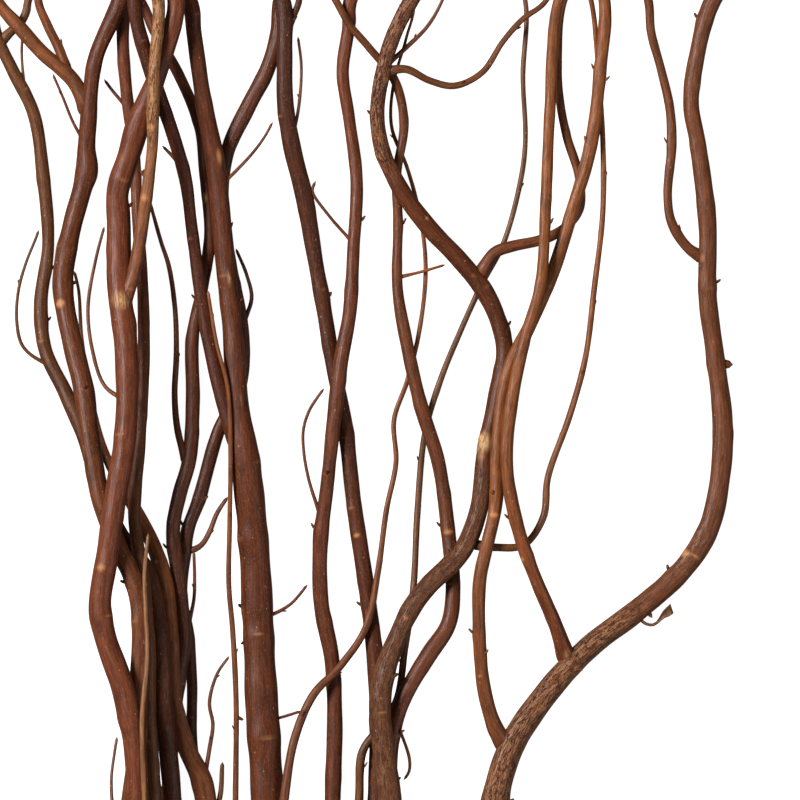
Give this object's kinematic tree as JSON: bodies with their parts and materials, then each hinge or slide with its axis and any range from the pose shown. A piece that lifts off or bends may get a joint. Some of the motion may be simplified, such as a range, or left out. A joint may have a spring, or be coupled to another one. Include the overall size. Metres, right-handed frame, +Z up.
{
  "type": "bunch of curly willow stems",
  "caption": "Loose bunch of long bare curly willow stems with forks, twigs and buds, lying flat on a surface.",
  "frame": {"origin": "centre of the bunch's outline on the surface it lies on", "axes": "+Y along the stems from the cut ends to the tips, +Z up from the surface, +X across the bunch"},
  "size_m": [0.4562, 0.921, 0.0406],
  "materials": {
    "bark_red": "satin reddish brown bark",
    "bark_brown": "satin brown bark with fine lengthwise cracks",
    "bark_olive": "satin olive brown bark",
    "bark_tan": "satin tan bark of thin shoots"
  },
  "bodies": {
    "root": {"stem_01": "bark_olive", "stem_02": "bark_red", "stem_03": "bark_olive", "stem_04": "bark_red", "stem_05": "bark_red", "stem_06": "bark_tan", "stem_07": "bark_brown", "stem_08": "bark_tan", "stem_09": "bark_red", "stem_10": "bark_red", "stem_11": "bark_brown", "stem_12": "bark_red", "stem_13": "bark_tan", "stem_14": "bark_brown", "stem_15": "bark_tan", "stem_16": "bark_brown", "stem_17": "bark_brown"}
  },
  "joints": []
}
